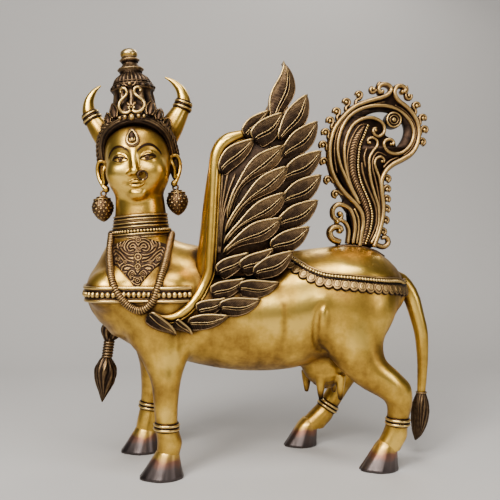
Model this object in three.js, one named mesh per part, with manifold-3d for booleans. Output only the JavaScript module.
// Kamdhenu: a standing cow of cast brass with a woman's head and bust, two wings and a peacock's plume.
// Millimetres, +Z up. The cow looks towards -X, its bust and face are turned towards -Y, and it stands on Z = 0.
// The whole figure is one casting, so the model is one closed solid.

import * as THREE from 'three';
import { mergeVertices } from 'three/addons/utils/BufferGeometryUtils.js';
import Module from 'manifold-3d';

const wasm = await Module();
wasm.setup();

// Driving sizes. The figure's pose is drawn on a grid, and every place on it is a share of the height.
const height = 631;
const grid_height = 631;
const grid_middle = 24.6;
const part = height / grid_height;

// Sizes of the cast detail in grid units, from millimetres that can each change by themselves.
const mm = 1 / part;
const wing_thickness = 12 * mm;
const wing_rim_radius = 5.5 * mm;
const feather_rise = 5 * mm;
const plume_thickness = 10 * mm;
const plume_ridge_radius = 4.8 * mm;
const plume_curl_radius = 8 * mm;
const garland_radius = 6.5 * mm;
const band_height = 18 * mm;
const band_rise = 4 * mm;
const trim_height = 20 * mm;
const trim_rise = 3.5 * mm;
const nose_ring_wire = 1.8 * mm;
const sunk = 4 * mm;

// Raised rings as [distance along the limb, rise above its skin].
const anklet_profile = [[-7.5, 0], [-4, 3.4], [0, 1], [4, 3.4], [7.5, 0]].map((row) => row.map((v) => v * mm));
const collar_profile = [
  [-14, 0], [-10, 3.6], [-5, 0.8], [0, 3.2], [5, 0.8], [10, 3], [14, 0],
].map((row) => row.map((v) => v * mm));
const horn_ring_profile = [[-5, 0], [-2.5, 3], [0, 0.8], [2.5, 3], [5, 0]].map((row) => row.map((v) => v * mm));

// Limbs of the cow as rows of [x, y, z, radius in the XZ plane, radius along Y].
const torso = [
  [-186, 0, 266, 34, 40],
  [-150, 0, 263, 72, 70],
  [-110, 0, 254, 85, 80],
  [-60, 0, 238, 87, 84],
  [0, 0, 229, 89, 86],
  [60, 0, 231, 90, 86],
  [110, 0, 242, 86, 84],
  [160, 0, 256, 77, 82],
  [200, 0, 260, 69, 74],
  [230, 0, 257, 50, 58],
  [250, 0, 253, 24, 32],
];
const bust = [
  [-126, 0, 196, 34, 40],
  [-146, 0, 228, 62, 66],
  [-154, 0, 250, 77, 74],
  [-158, 0, 270, 82, 78],
  [-158, 0, 290, 73, 70],
  [-158, 0, 310, 61, 60],
  [-157, 0, 330, 51, 50],
  [-157, 0, 360, 41, 40],
  [-160, 0, 410, 37, 36],
];
const collar_row = 7;
const near_fore_leg = [
  [-125, -45, 242, 54, 38],
  [-127, -48, 215, 51, 36],
  [-122, -53, 193, 44, 32],
  [-120, -58, 160, 30, 27],
  [-119, -63, 138, 22, 22],
  [-119, -65, 105, 18, 17.5],
  [-118, -66, 73, 16.5, 16],
  [-114, -66, 50, 18.5, 17.5],
];
const far_fore_leg = [
  [-133, 45, 242, 52, 38],
  [-136, 48, 215, 50, 36],
  [-136, 53, 193, 43, 32],
  [-138, 58, 160, 29, 27],
  [-140, 63, 138, 22, 22],
  [-142, 65, 105, 18, 17.5],
  [-145, 66, 74, 16.5, 16],
  [-149, 66, 50, 18.5, 17.5],
];
const near_hind_leg = [
  [172, -42, 285, 46, 30],
  [165, -48, 243, 60, 38],
  [159, -54, 208, 53, 34],
  [165, -58, 176, 41, 30],
  [183, -62, 146, 29, 26],
  [211, -66, 125, 24, 22],
  [226, -66, 105, 21, 18],
  [224, -66, 74, 16.5, 15.5],
  [219, -66, 48, 19, 17],
];
const far_hind_leg = [
  [166, 42, 285, 46, 30],
  [156, 48, 243, 58, 38],
  [158, 54, 208, 50, 34],
  [172, 58, 180, 38, 30],
  [190, 62, 154, 26, 24],
  [189, 66, 132, 20, 19],
  [170, 68, 100, 17, 16],
  [149, 70, 65, 16, 15.5],
  [134, 70, 46, 18.5, 18],
];
const fore_anklet_row = 6;
const hind_anklet_row = 7;
const tail = [
  [240, 0, 270, 12, 11],
  [258, 0, 273, 9, 9],
  [273, 0, 245, 8.5, 8.5],
  [284, 0, 207, 8.5, 8],
  [288, 0, 165, 8, 7.5],
  [288, 0, 123, 6.5, 6.5],
  [285, 0, 97, 6, 6],
  [284, 0, 86, 10, 9],
  [282, 0, 68, 13.5, 11],
  [279, 0, 46, 11, 9],
  [275, 0, 26, 3, 3],
];
const braid = [
  [-156, 40, 440, 12, 10],
  [-163, 44, 400, 11, 10],
  [-180, 50, 358, 10, 10],
  [-202, 52, 318, 10, 10],
  [-218, 52, 275, 10, 10],
  [-218, 46, 232, 10, 10],
  [-206, 41, 205, 12, 11],
  [-207, 40, 190, 9, 9],
  [-211, 40, 164, 8, 8],
  [-213, 40, 152, 12, 12],
  [-215, 40, 134, 17, 16],
  [-217, 40, 110, 12, 11],
  [-220, 40, 88, 2.5, 2.5],
];
const udder = [
  [126, 0, 176, 44, 36],
  [126, 0, 150, 37, 33],
  [128, 0, 130, 29, 29],
  [130, 0, 114, 15, 17],
];
const teats = [[103, 20, 100], [117, -20, 95], [147, 20, 97], [148, -20, 93]];
const teat_root = 130;

// Balls as [x, y, z, radius x, radius y, radius z].
const near_breast = [-112, -55, 270, 40, 35, 33];
const far_breast = [-198, -44, 268, 37, 36, 32];

// Hooves as the middle of the top and of the sole, the side they stand on, and half the sole's length.
const hoof_height = 36;
const near_fore_hoof = { top: -117, sole: -126, y: -66, half_length: 34 };
const far_fore_hoof = { top: -153, sole: -161, y: 66, half_length: 34 };
const near_hind_hoof = { top: 206, sole: 194, y: -66, half_length: 31 };
const far_hind_hoof = { top: 114, sole: 101, y: 70, half_length: 29 };

// The wing's leading edge and plate as [x, z], from the breast up to the first feather.
const wing_reach = 78;
const wing_edge = [
  [-150, 238], [-128, 233], [-104, 237], [-77, 255], [-61, 284], [-53, 326], [-51, 369],
  [-50, 411], [-48, 447], [-43, 468], [-32, 481], [-12, 489],
];
const wing_plate = [
  [-56, 290], [-52, 411], [-46, 462], [-34, 476], [-10, 484], [8, 498], [30, 530], [50, 535],
  [64, 518], [74, 500], [84, 470], [86, 440], [83, 400], [74, 365], [48, 322], [10, 290],
];
const wing_arm = [
  [-58, 46, 296, 14, 28],
  [-54, 59, 375, 10, 19],
  [-50, 73, 460, 4.5, 6],
];
const far_wing_setback = 12;

// Feathers as [root x, root z, tip x, tip z, width], drawn from the back row to the front row.
const outer_feathers = [
  [34, 512, 50, 599, 31],
  [40, 480, 84, 552, 29],
  [42, 452, 101, 514, 27],
  [42, 424, 109, 472, 25],
  [42, 394, 108, 437, 25],
  [36, 360, 104, 399, 25],
  [30, 330, 90, 362, 24],
  [9, 297, 65, 325, 22],
];
const inner_feathers = [
  [-12, 484, 22, 520, 20],
  [-6, 470, 49, 522, 25],
  [-42, 438, 8, 480, 22],
  [-36, 400, 52, 479, 27],
  [-40, 372, 58, 447, 26],
  [-42, 352, 53, 409, 25],
  [-44, 332, 48, 373, 24],
  [-46, 305, 36, 328, 23],
  [-52, 271, 42, 279, 21],
  [-60, 246, 17, 258, 19],
  [-112, 228, -32, 236, 18],
  [-143, 236, -90, 209, 18],
];

const long_feather = 85;

// The plume's curled ridges as [x, z], from the rump outwards.
const plume_rim_front = [
  [174, 332], [186, 360], [182, 385], [163, 406], [145, 427], [134, 459], [132, 486], [137, 513],
  [151, 536], [172, 553], [198, 562], [222, 567], [233, 578], [228, 586], [217, 584], [217, 574],
];
const plume_rim_back = [
  [202, 332], [218, 370], [221, 399], [219, 428], [224, 452], [240, 464], [261, 474], [275, 488],
  [281, 508], [279, 529], [269, 544], [253, 555], [241, 567], [240, 579], [248, 587], [257, 582], [253, 573],
];
const plume_loop = [
  [186, 390], [163, 418], [151, 440], [147, 475], [153, 502], [169, 529], [192, 546], [222, 553],
  [249, 547], [267, 530], [271, 507], [263, 492], [245, 480], [229, 481], [222, 490], [228, 500], [238, 495],
];
const plume_hook = [
  [182, 400], [167, 437], [161, 467], [165, 498], [176, 523], [194, 533], [214, 531], [222, 518], [217, 506], [206, 508],
];
const plume_stem = [[194, 332], [200, 380], [190, 408], [180, 437], [176, 466], [180, 494], [190, 517]];
const plume_inner = [[201, 340], [212, 370], [208, 408], [200, 437], [198, 464], [207, 484], [207, 499], [196, 500]];
const plume_scrolls = [
  [[174, 332], [172, 374], [161, 395], [147, 397], [139, 386], [147, 377]],
  [[172, 330], [145, 336], [134, 346], [137, 358], [150, 358]],
];
const plume_plate = [
  [168, 328], [182, 360], [178, 385], [158, 405], [143, 427], [134, 459], [132, 486], [137, 513], [151, 536],
  [172, 553], [198, 562], [236, 566], [253, 555], [269, 544], [279, 529], [281, 508], [275, 488], [261, 474],
  [240, 464], [224, 452], [219, 428], [221, 399], [218, 370], [206, 328],
];
const plume_window = [[222, 520], [228, 508], [240, 500], [247, 492], [259, 505], [261, 522], [252, 530], [240, 520]];
const plume_boss = [237, 530, 11];

// Curls that stand along the plume's two rims, as [first share of the rim, last share, count].
const front_curls = [0.27, 0.76, 7];
const back_curls = [0.06, 0.8, 10];

// Trim round the rump as [x, z], from the middle of the back to the root of the tail.
const rump_trim = [[60, 309], [78, 298], [95, 288], [119, 280], [151, 276], [178, 272], [205, 269], [226, 268]];
const scallops = 6;

// Hung ornaments on the bust, as [x, z].
const garland = [
  [-198, 348], [-199, 326], [-197, 305], [-193, 284], [-187, 266], [-177, 251], [-166, 241], [-155, 239],
  [-145, 243], [-137, 254], [-132, 269], [-126, 290], [-120, 309], [-115, 329], [-112, 348],
];
const bib = [[-194, 346], [-189, 311], [-178, 297], [-167, 283], [-155, 273], [-144, 287], [-127, 307], [-119, 328], [-117, 346]];
const bib_middle = [-156, 318];
const band_middle = 262;

// The head stands in a frame of its own: face towards -Y, turned and tilted on the neck.
const head_middle = [-161.5, -2, 455];
const head_turn = THREE.MathUtils.degToRad(-10);
const head_tilt = THREE.MathUtils.degToRad(-5);
const horn = [
  [36, 22, 34, 18, 18],
  [53, 22, 56, 15.5, 15.5],
  [63, 21, 70, 13.5, 13.5],
  [70, 20, 83, 11.5, 11.5],
  [71, 18, 100, 8.5, 8.5],
  [61, 17, 118, 4.4, 4.4],
  [49, 16, 127, 1.5, 1.5],
];
const horn_ring_row = 3;
const crown_profile = [
  [0, 50], [50, 57], [46, 70], [30, 90], [29, 112], [32, 117], [26, 129], [17, 137],
  [18.5, 143], [11, 151], [13, 158], [8, 161], [12.5, 167], [0, 176.7],
];
const ear_ring_profile = [[0, -82], [8, -75], [16, -62], [13, -48], [4, -42], [0, -30]];
const ear_ring_place = [57, 10];
const crest_scroll = [[4, 60], [16, 62], [26, 74], [26, 88], [15, 98], [6, 107], [7, 115], [14, 115]];
const hair_roll = [[52, 6, -12], [52, -6, 14], [46, -20, 38], [30, -33, 55], [0, -41, 63]];
const head_balls = [
  [0, 7, 8, 51, 55, 60],
  [0, -14, -34, 33, 32, 26],
];
const feature_balls = [
  [0, -50, -8, 6, 9, 18],
  [0, -55, -19, 8.5, 8, 6],
  [0, -45, -36, 12, 9, 5],
  [20, -44, 5, 10.5, 7, 5.4],
  [-20, -44, 5, 10.5, 7, 5.4],
  [0, -43, 38, 7, 5, 12],
  [54, 10, -13, 9, 6, 25],
  [-54, 10, -13, 9, 6, 25],
];
const nose_ring = [10, -52, -22, 6.5];

// Poses carry the grid into millimetres, the far wing to its place, and the head's own frame onto the neck.
const figure_pose = new THREE.Matrix4().makeScale(part, part, part)
  .multiply(new THREE.Matrix4().makeTranslation(-grid_middle, 0, 0));
const far_wing_pose = figure_pose.clone().multiply(new THREE.Matrix4().makeTranslation(far_wing_setback, 0, 0));
const head_pose = figure_pose.clone()
  .multiply(new THREE.Matrix4().makeTranslation(...head_middle))
  .multiply(new THREE.Matrix4().makeRotationZ(head_turn))
  .multiply(new THREE.Matrix4().makeRotationY(head_tilt));

const lerp = THREE.MathUtils.lerp;
const point = (x, y, z) => new THREE.Vector3(x, y, z);

// Six times the volume that a closed mesh holds, below nought when its faces point in.
function signed_volume(corners, faces) {
  const [a, b, c] = [point(), point(), point()];
  let total = 0;
  for (let i = 0; i < faces.length; i += 3) {
    a.fromArray(corners, faces[i] * 3);
    b.fromArray(corners, faces[i + 1] * 3);
    c.fromArray(corners, faces[i + 2] * 3);
    total += a.dot(b.cross(c));
  }
  return total;
}

// Turns a closed geometry into a solid in its place, facing out.
function solid(geometry, pose = figure_pose) {
  const bare = geometry.clone().applyMatrix4(pose);
  bare.deleteAttribute('normal');
  bare.deleteAttribute('uv');
  const merged = mergeVertices(bare, 1e-4);
  const corners = merged.attributes.position.array;
  const faces = new Uint32Array(merged.index.array);
  if (signed_volume(corners, faces) < 0) faces.reverse();
  return new wasm.Manifold(new wasm.Mesh({ numProp: 3, vertProperties: corners, triVerts: faces }));
}

// A closed skin over rings of points, drawn to a point at each end.
function skin(rings, first, last, pose) {
  const sides = rings[0].length;
  const points = [...rings.flat(), first, last];
  const [foot, top] = [points.length - 2, points.length - 1];
  const end = (rings.length - 1) * sides;
  const faces = [];
  for (let k = 0; k < sides; k++) {
    const next = (k + 1) % sides;
    for (let row = 0; row < end; row += sides) {
      const [a, b] = [row + k, row + next];
      faces.push(a, b, b + sides, a, b + sides, a + sides);
    }
    faces.push(foot, next, k, top, end + k, end + next);
  }
  const geometry = new THREE.BufferGeometry().setFromPoints(points);
  return solid(geometry.setIndex(faces), pose);
}

// A table of limb rows as a curve that gives the middle, direction and radii at any share of it.
function course(table) {
  const middles = new THREE.CatmullRomCurve3(table.map(([x, y, z]) => point(x, y, z)), false, 'catmullrom');
  const radii = new THREE.CatmullRomCurve3(table.map(([, , , a, b]) => point(a, b, 0)), false, 'catmullrom');
  return (share) => {
    const along = middles.getTangent(share);
    const { x: wide, y: deep } = radii.getPoint(share);
    return { middle: middles.getPoint(share), along, across: point(along.z, 0, -along.x).normalize(), wide, deep };
  };
}

const evenly = (count) => Array.from({ length: count + 1 }, (_, i) => i / count);

function oval({ middle, across, wide, deep }, sides, rise = 0) {
  return Array.from({ length: sides }, (_, k) => {
    const turn = (2 * Math.PI * k) / sides;
    return middle.clone()
      .addScaledVector(across, (wide + rise) * Math.cos(turn))
      .add(point(0, (deep + rise) * Math.sin(turn), 0));
  });
}

// The rings of a limb, with a raised ring let in at one share of it.
function limb_rings(table, sides, steps, share = -1, profile = []) {
  const row_at = course(table);
  const centre = row_at(Math.max(share, 0));
  const reach = Math.max(0, ...profile.map(([distance]) => Math.abs(distance))) + 2;
  const clear = (row) => share < 0 || row.middle.distanceTo(centre.middle) > reach;
  const raised = profile.map(([distance, rise]) => {
    const middle = centre.middle.clone().addScaledVector(centre.along, distance);
    return oval({ ...centre, middle }, sides, rise);
  });
  const before = evenly(steps).filter((s) => s < share && clear(row_at(s)));
  const after = evenly(steps).filter((s) => s >= share && clear(row_at(s)));
  const rings_at = (shares) => shares.map((s) => oval(row_at(s), sides));
  return [...rings_at(before), ...raised, ...rings_at(after)];
}

function limb(table, sides, steps, { pose, share, profile } = {}) {
  const row_at = course(table);
  const bulge = 0.3;
  const tip = (row, sign) => row.middle.clone().addScaledVector(row.along, sign * bulge * row.wide);
  return skin(limb_rings(table, sides, steps, share, profile), tip(row_at(0), -1), tip(row_at(1), 1), pose);
}

// A leg from the thigh to the sole, with its anklet and hoof.
function leg(table, anklet_row, { top, sole, y, half_length }) {
  const sides = 8;
  const top_radius = 21;
  const toe_taper = 0.25;
  const hoof_rings = [1.05, 0.95, 0.45, 0].map((level) => Array.from({ length: sides }, (_, k) => {
    const turn = (2 * Math.PI * k) / sides;
    const spread = level > 1 ? 0.9 : 1;
    const reach = spread * lerp(half_length, top_radius, Math.min(1, level) ** 0.85);
    const width = reach * lerp(0.8, 0.92, level) * (1 - toe_taper * Math.max(0, Math.cos(turn)) * (1 - level));
    return point(lerp(sole, top, level) - reach * Math.cos(turn), y + width * Math.sin(turn), level * hoof_height);
  }));
  const share = anklet_row / (table.length - 1);
  const rings = limb_rings(table, sides, table.length - 1, share, anklet_profile);
  return skin([...rings, ...hoof_rings], course(table)(0).middle, point(sole, y, 0));
}

const mirrored = (table, side) => table.map(([x, y, ...rest]) => [x, side * y, ...rest]);

// A raised ridge or cord along points of the XZ plane, at a depth that may follow a surface.
function ridge(points, radius, deep, steps, sides, depth = () => 0, pose = undefined) {
  return limb(points.map(([x, z]) => [x, depth(x, z), z, radius, deep]), sides, steps, { pose });
}

function ball([x, y, z, rx, ry, rz], columns, rows, pose) {
  return solid(new THREE.SphereGeometry(1, columns, rows).scale(rx, ry, rz).translate(x, y, z), pose);
}

// Half the thickness of a limb, or of a ball, at a point of the XZ plane, as a distance from Y = 0.
function limb_side(rows, x, z) {
  let best = rows[0];
  let nearest = Infinity;
  for (const row of rows) {
    const distance = Math.hypot(row.middle.x - x, row.middle.z - z);
    if (distance < nearest) [best, nearest] = [row, distance];
  }
  const share = nearest / best.wide;
  return share < 1 ? Math.abs(best.middle.y) + best.deep * Math.sqrt(1 - share * share) : 0;
}
function ball_side([cx, cy, cz, rx, ry, rz], x, z) {
  const share = ((x - cx) / rx) ** 2 + ((z - cz) / rz) ** 2;
  return share < 1 ? Math.abs(cy) + ry * Math.sqrt(1 - share) : 0;
}

// How far out from the middle plane the cow's flank stands at a point of the grid.
const flank_limbs = [torso, bust, near_fore_leg, near_hind_leg].map((table) => evenly(60).map(course(table)));
function flank(x, z) {
  const limbs = flank_limbs.map((rows) => limb_side(rows, x, z));
  return Math.max(...limbs, ball_side(near_breast, x, z), ball_side(far_breast, x, z));
}

// The distance from the bust's axis to its skin, breasts included, in a direction of the level plane.
function bust_reach(level, turn) {
  const rows = evenly(60).map(course(bust));
  const row = rows.reduce((a, b) => (Math.abs(b.middle.z - level) < Math.abs(a.middle.z - level) ? b : a));
  const [dx, dy] = [Math.cos(turn), Math.sin(turn)];
  const reach_of = (cx, cy, rx, ry) => {
    const a = (dx / rx) ** 2 + (dy / ry) ** 2;
    const b = (-cx * dx) / rx ** 2 + (-cy * dy) / ry ** 2;
    const root = b * b - a * ((cx / rx) ** 2 + (cy / ry) ** 2 - 1);
    return root > 0 ? (-b + Math.sqrt(root)) / a : 0;
  };
  const breasts = [near_breast, far_breast].map(([x, y, z, rx, ry, rz]) => {
    const scale = Math.sqrt(Math.max(0, 1 - ((level - z) / rz) ** 2));
    return scale > 0 ? reach_of(x - row.middle.x, y, rx * scale, ry * scale) : 0;
  });
  return { middle: row.middle, reach: Math.max(reach_of(0, 0, row.wide, row.deep), ...breasts) };
}

// The belt round the bust, which stands proud of the skin.
function breast_band() {
  const steps = 20;
  const section = [[-sunk, -0.5], [band_rise, -0.5], [band_rise, 0.5], [-sunk, 0.5]];
  const sides = section.length;
  const points = evenly(steps).slice(0, steps).flatMap((share) => {
    const turn = 2 * Math.PI * share;
    const { middle, reach } = bust_reach(band_middle, turn);
    return section.map(([out, up]) => point(
      middle.x + (reach + out) * Math.cos(turn), (reach + out) * Math.sin(turn), band_middle + up * band_height));
  });
  const faces = [];
  for (let k = 0; k < steps; k++) {
    for (let s = 0; s < sides; s++) {
      const [a, b] = [k * sides + s, k * sides + ((s + 1) % sides)];
      const [c, d] = [(a + sides) % points.length, (b + sides) % points.length];
      faces.push(a, b, d, a, d, c);
    }
  }
  return solid(new THREE.BufferGeometry().setFromPoints(points).setIndex(faces));
}

// A flat strip that lies on the flank, standing proud of it, with a scalloped lower edge.
function flank_trim(side) {
  const path = new THREE.CatmullRomCurve3(rump_trim.map(([x, z]) => point(x, 0, z)));
  const rings = evenly(scallops * 2).map((share, i) => {
    const { x, z } = path.getPoint(share);
    const on_skin = (level, out) => point(x, side * (flank(x, level) + out), level);
    const upper = z + trim_height * 0.45;
    const lower = z - trim_height * (i % 2 ? 0.55 : 0.3);
    return [on_skin(upper, -sunk), on_skin(upper, trim_rise), on_skin(lower, trim_rise), on_skin(lower, -sunk)];
  });
  const middle = (ring) => ring.reduce((sum, p) => sum.add(p), point(0, 0, 0)).divideScalar(ring.length);
  return skin(rings, middle(rings[0]), middle(rings.at(-1)));
}

// The outer face of the wing: the flank where that stands further out, and else the wing's own plane.
const wing_face = (x, z) => Math.max(wing_reach, flank(x, z));

// A leaf-shaped feather with a raised midrib, its upper edge lifted over the feather above it.
function feather(side, [x0, z0, x1, z1, width], layer, pose) {
  const length = Math.hypot(x1 - x0, z1 - z0);
  const [dx, dz] = [(x1 - x0) / length, (z1 - z0) / length];
  const bend = length * 0.07;
  const spot = (share, across, rise) => {
    const offset = across - bend * Math.sin(Math.PI * share);
    const x = lerp(x0, x1, share) - dz * offset;
    const z = lerp(z0, z1, share) + dx * offset;
    return point(x, side * (wing_face(x, z) + rise), z);
  };
  const long = length > long_feather;
  const rings = (long ? [[0.12, 0.6], [0.5, 1], [0.82, 0.7]] : [[0.2, 0.75], [0.72, 0.9]]).map(([share, fullness]) => {
    const half = (fullness * width) / 2;
    return [
      spot(share, half, layer + feather_rise * 1.2),
      spot(share, 0, layer + feather_rise * 1.4),
      spot(share, -half, -feather_rise * 0.6),
    ];
  });
  return skin(rings, spot(0, 0, 0), spot(1, 0, layer + feather_rise * 0.3), pose);
}

// A flat plate in the XZ plane between two distances from the middle plane.
function plate(outline, near, far, { window = [], pose } = {}) {
  const to_shape = (points) => points.map(([x, z]) => new THREE.Vector2(x, z));
  const shape = new THREE.Shape(to_shape(outline));
  if (window.length) shape.holes.push(new THREE.Path(to_shape(window)));
  const slab = new THREE.ExtrudeGeometry(shape, { depth: far - near, bevelEnabled: false });
  return solid(slab.rotateX(Math.PI / 2).translate(0, far, 0), pose);
}

function wing(side, pose) {
  const [near, far] = [side * wing_reach, side * (wing_reach - wing_thickness)].sort((a, b) => a - b);
  const edge_depth = (x, z) => side * wing_face(x, z);
  return [
    plate(wing_plate, near, far, { pose }),
    ridge(wing_edge, wing_rim_radius, wing_rim_radius, 12, 5, edge_depth, pose),
    limb(mirrored(wing_arm, side), 7, 3, { pose }),
    ...outer_feathers.map((row) => feather(side, row, 0, pose)),
    ...inner_feathers.map((row) => feather(side, row, feather_rise * 0.8, pose)),
  ];
}

// Curls that stand along the outside of one of the plume's rims.
function rim_curls(rim, [first, last, count], side) {
  const path = new THREE.CatmullRomCurve3(rim.map(([x, z]) => point(x, 0, z)));
  const proud = plume_ridge_radius + plume_curl_radius * 0.45;
  return evenly(count - 1).map((i) => {
    const share = lerp(first, last, i);
    const along = path.getTangentAt(share);
    const spot = path.getPointAt(share).addScaledVector(point(-along.z, 0, along.x), side * proud);
    return solid(new THREE.OctahedronGeometry(plume_curl_radius).translate(spot.x, 0, spot.z));
  });
}

function plume() {
  const half = plume_thickness / 2;
  const deep = half + plume_ridge_radius * 0.6;
  const line = (points, steps, sides = 4) => ridge(points, plume_ridge_radius, deep, steps, sides);
  const [boss_x, boss_z, boss_radius] = plume_boss;
  const boss = new THREE.CylinderGeometry(boss_radius, boss_radius, deep * 2, 10);
  return [
    plate(plume_plate, -half, half, { window: plume_window }),
    line(plume_rim_front, 18),
    line(plume_rim_back, 19),
    line(plume_loop, 14),
    line(plume_hook, 9),
    ridge(plume_stem, plume_ridge_radius * 1.8, deep, 5, 4),
    line(plume_inner, 7),
    ...plume_scrolls.map((points) => line(points, 6, 5)),
    solid(boss.translate(boss_x, 0, boss_z)),
    ...rim_curls(plume_rim_front, front_curls, 1),
    ...rim_curls(plume_rim_back, back_curls, -1),
  ];
}

function neck_ornaments() {
  const depth = (proud) => (x, z) => -flank(x, z) - proud;
  const cord = ridge(garland, garland_radius, garland_radius, 12, 4, depth(garland_radius * 0.5));
  const sheet = (proud) => bib.map(([x, z]) => point(x, depth(proud)(x, z), z));
  const [x, z] = bib_middle;
  const centre = (proud) => point(x, depth(proud)(x, z), z);
  return [cord, skin([sheet(-sunk * 3), sheet(band_rise)], centre(-sunk * 4), centre(band_rise * 1.5))];
}

function head() {
  const pose = head_pose;
  const lathe = (profile, sides, x, y) => {
    const made = new THREE.LatheGeometry(profile.map(([r, z]) => new THREE.Vector2(r, z)), sides);
    return solid(made.rotateX(Math.PI / 2).translate(x, y, 0), pose);
  };
  const crest_depth = (x, z) => -lerp(44, 27, (z - 60) / 56);
  const [ear_x, ear_y] = ear_ring_place;
  const sides = [-1, 1].flatMap((side) => {
    const turned = (table) => table.map(([x, ...rest]) => [side * x, ...rest]);
    const share = horn_ring_row / (horn.length - 1);
    return [
      limb(turned(horn), 6, 6, { pose, share, profile: horn_ring_profile }),
      lathe(ear_ring_profile, 7, side * ear_x, ear_y),
      limb(turned(hair_roll).map((row) => [...row, 6.5, 6.5]), 4, 4, { pose }),
      ridge(turned(crest_scroll), 3.6, 4, 6, 4, crest_depth, pose),
    ];
  });
  const [ring_x, ring_y, ring_z, ring_radius] = nose_ring;
  const hoop = new THREE.TorusGeometry(ring_radius, nose_ring_wire, 3, 7).rotateY(0.5);
  return [
    ...head_balls.map((row) => ball(row, 12, 8, pose)),
    ...feature_balls.map((row) => ball(row, 6, 4, pose)),
    lathe(crown_profile, 10, 0, 0),
    solid(hoop.translate(ring_x, ring_y, ring_z), pose),
    ...sides,
  ];
}

function teat([x, y, z]) {
  return limb([[x, y, teat_root, 9, 9], [x, y, lerp(z, teat_root, 0.4), 5.5, 5.5], [x, y, z, 2.5, 2.5]], 5, 2);
}

const pieces = [
  limb(torso, 16, 9),
  limb(bust, 12, 8, { share: collar_row / (bust.length - 1), profile: collar_profile }),
  ball(near_breast, 10, 7),
  ball(far_breast, 10, 7),
  leg(near_fore_leg, fore_anklet_row, near_fore_hoof),
  leg(far_fore_leg, fore_anklet_row, far_fore_hoof),
  leg(near_hind_leg, hind_anklet_row, near_hind_hoof),
  leg(far_hind_leg, hind_anklet_row, far_hind_hoof),
  limb(tail, 5, 10),
  limb(braid, 5, 11),
  limb(udder, 9, 3),
  ...teats.map(teat),
  breast_band(),
  flank_trim(-1),
  flank_trim(1),
  ...neck_ornaments(),
  ...head(),
  ...wing(-1, figure_pose),
  ...wing(1, far_wing_pose),
  ...plume(),
];
const casting = pieces.reduce((whole, piece) => whole.add(piece));

// A solid's triangles as a three.js geometry.
function geometry_of(made) {
  const { vertProperties, triVerts } = made.getMesh();
  const geometry = new THREE.BufferGeometry();
  geometry.setAttribute('position', new THREE.BufferAttribute(vertProperties, 3));
  geometry.setIndex(new THREE.BufferAttribute(triVerts, 1));
  geometry.computeVertexNormals();
  return geometry;
}

const brass = new THREE.MeshStandardMaterial({ color: 0xb5893a, metalness: 1, roughness: 0.32 });
const statue = new THREE.Mesh(geometry_of(casting), brass);
statue.name = 'kamdhenu_statue';

const model = new THREE.Group();
model.add(statue);
export default model;
